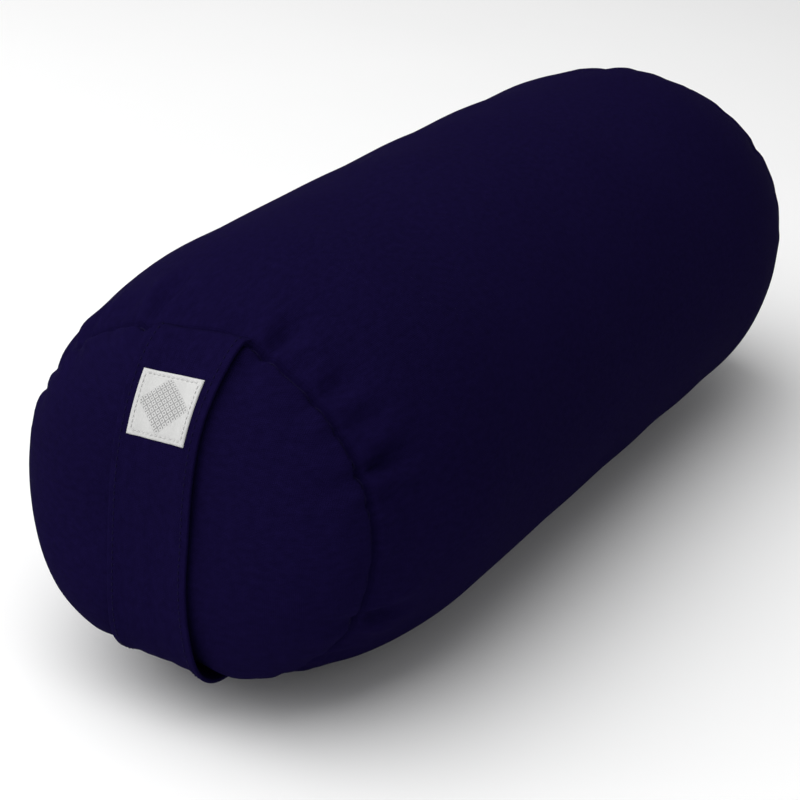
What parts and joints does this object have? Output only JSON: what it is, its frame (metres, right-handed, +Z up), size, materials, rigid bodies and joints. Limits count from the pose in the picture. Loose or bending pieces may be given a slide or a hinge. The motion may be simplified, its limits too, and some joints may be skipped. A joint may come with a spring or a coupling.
{
  "type": "bolster pillow",
  "caption": "Round bolster pillow in dark canvas with sewn-in domed ends, a carry strap and label on one end, a zipped cover and a filled inner liner.",
  "frame": {"origin": "middle of the flat face that the cushion rests on, below the middle of its length", "axes": "+X along the cushion from the carry strap to the plain end, +Z up, zip on the +Y side"},
  "size_m": [0.6043, 0.228, 0.207],
  "materials": {
    "cover_canvas": "plain-weave cotton canvas, deep indigo",
    "cover_thread": "spun polyester sewing thread, deep indigo",
    "zip_tape": "herringbone woven polyester tape, deep indigo",
    "zip_coil": "moulded nylon coil, satin",
    "zip_metal": "enamelled zinc, satin, slightly worn",
    "label_weave": "satin-woven label, off-white",
    "label_thread": "fine sewing thread, off-white",
    "liner_cotton": "unbleached cotton, matte",
    "liner_thread": "cotton sewing thread, matte",
    "hulls": "dry seed hulls, matte"
  },
  "bodies": {
    "cover": {"body_panel": "cover_canvas", "handle_end_panel": "cover_canvas", "plain_end_panel": "cover_canvas", "handle_end_seam_thread": "cover_thread", "plain_end_seam_thread": "cover_thread", "lengthwise_seam_thread": "cover_thread", "zipper_topstitching": "cover_thread", "zipper_tape_upper": "zip_tape", "zipper_tape_lower": "zip_tape", "zipper_coil_upper": "zip_coil", "zipper_coil_lower": "zip_coil", "zipper_top_stops": "zip_metal", "zipper_bottom_stop": "zip_metal", "liner_tube": "liner_cotton", "liner_handle_end": "liner_cotton", "liner_plain_end": "liner_cotton", "liner_seam_threads": "liner_thread", "hull_filling": "hulls"},
    "handle": {"handle_strap": "cover_canvas", "handle_edge_stitching": "cover_thread", "label_patch": "label_weave", "label_stitching": "label_thread"},
    "zip_slider": {"zipper_slider": "zip_metal"},
    "zip_pull": {"zipper_pull": "zip_metal"}
  },
  "joints": [
    {"name": "handle_lift", "type": "slide", "parent": "cover", "child": "handle", "axis": [-1, 0, 0], "range_m": [0, 0.025]},
    {"name": "zip_slide", "type": "slide", "parent": "cover", "child": "zip_slider", "axis": [-1, 0, 0], "range_m": [0, 0.3]},
    {"name": "zip_pull_swing", "type": "hinge", "parent": "zip_slider", "child": "zip_pull", "pos_m": [0.15405, 0.10602, 0.14681], "axis": [0, 0.4462, -0.8949], "range_deg": [0, 175]}
  ]
}
